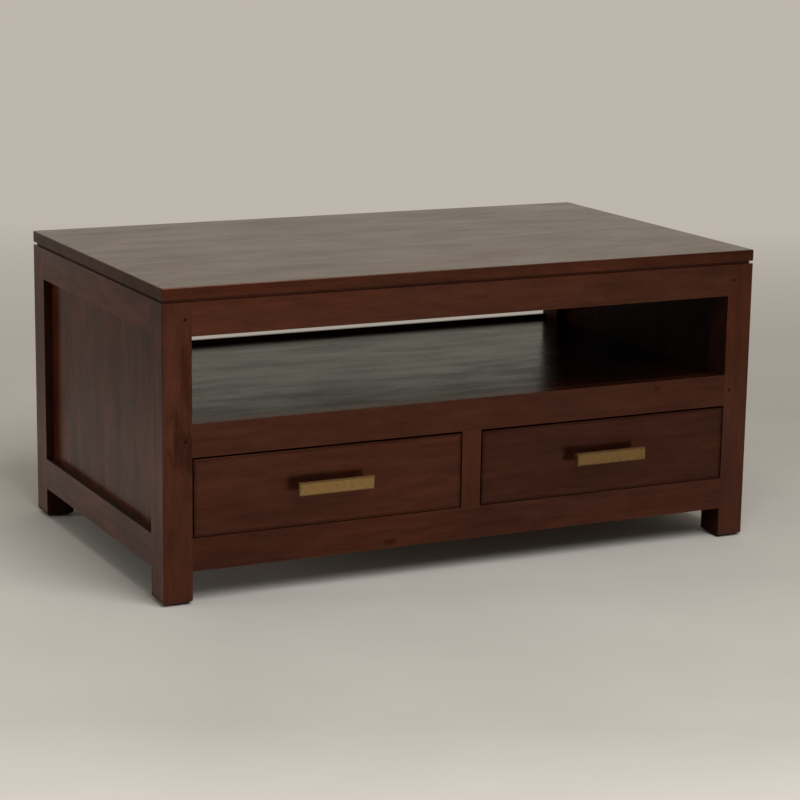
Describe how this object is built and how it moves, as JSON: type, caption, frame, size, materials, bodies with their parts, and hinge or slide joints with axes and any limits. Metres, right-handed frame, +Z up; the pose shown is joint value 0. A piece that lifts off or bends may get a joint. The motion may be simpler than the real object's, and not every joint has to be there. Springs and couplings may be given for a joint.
{
  "type": "coffee table with drawers",
  "caption": "Low wooden coffee table: a square-legged frame with recessed side panels, a through shelf, and inset drawers with flat brass bar pulls.",
  "frame": {"origin": "on the floor, under the middle of the table's outer box, handles included", "axes": "+X to the right along the front, +Y from the drawers to the back, +Z up"},
  "size_m": [1, 0.615, 0.47],
  "materials": {
    "stained_wood": "satin lacquer over a red-brown stain",
    "inner_wood": "plain, unstained",
    "drawer_box_wood": "plain, unstained",
    "peg_wood": "dark end grain",
    "brass": "antique, mottled",
    "screw_steel": "zinc plated",
    "glide_plastic": "matt"
  },
  "bodies": {
    "carcase": {"centre_drawer_guide": "inner_wood", "centre_drawer_kicker": "inner_wood", "centre_drawer_runner": "inner_wood", "drawer_divider": "stained_wood", "drawer_stops": "inner_wood", "foot_glides": "glide_plastic", "front_bottom_rail": "stained_wood", "front_left_leg": "stained_wood", "front_middle_rail": "stained_wood", "front_right_leg": "stained_wood", "front_top_cleat": "inner_wood", "front_top_rail": "stained_wood", "joint_pegs": "peg_wood", "left_bottom_rail": "stained_wood", "left_drawer_guide": "inner_wood", "left_drawer_kicker": "inner_wood", "left_drawer_runner": "inner_wood", "left_side_panel": "stained_wood", "left_top_rail": "stained_wood", "rear_bottom_rail": "stained_wood", "rear_left_leg": "stained_wood", "rear_middle_rail": "stained_wood", "rear_panel": "stained_wood", "rear_right_leg": "stained_wood", "rear_top_cleat": "inner_wood", "rear_top_rail": "stained_wood", "right_bottom_rail": "stained_wood", "right_drawer_guide": "inner_wood", "right_drawer_kicker": "inner_wood", "right_drawer_runner": "inner_wood", "right_side_panel": "stained_wood", "right_top_rail": "stained_wood", "shelf_board": "stained_wood", "top_board": "stained_wood", "top_fixing_screws": "screw_steel"},
    "left_drawer": {"left_drawer_front": "stained_wood", "left_drawer_left_side": "drawer_box_wood", "left_drawer_right_side": "drawer_box_wood", "left_drawer_back": "drawer_box_wood", "left_drawer_bottom": "drawer_box_wood", "left_drawer_bottom_screws": "screw_steel", "left_drawer_handle_bar": "brass", "left_drawer_handle_posts": "brass", "left_drawer_handle_screws": "screw_steel"},
    "right_drawer": {"right_drawer_front": "stained_wood", "right_drawer_left_side": "drawer_box_wood", "right_drawer_right_side": "drawer_box_wood", "right_drawer_back": "drawer_box_wood", "right_drawer_bottom": "drawer_box_wood", "right_drawer_bottom_screws": "screw_steel", "right_drawer_handle_bar": "brass", "right_drawer_handle_posts": "brass", "right_drawer_handle_screws": "screw_steel"}
  },
  "joints": [
    {"name": "left_drawer_slide", "type": "slide", "parent": "carcase", "child": "left_drawer", "axis": [0, -1, 0], "range_m": [0, 0.36]},
    {"name": "right_drawer_slide", "type": "slide", "parent": "carcase", "child": "right_drawer", "axis": [0, -1, 0], "range_m": [0, 0.36]}
  ]
}
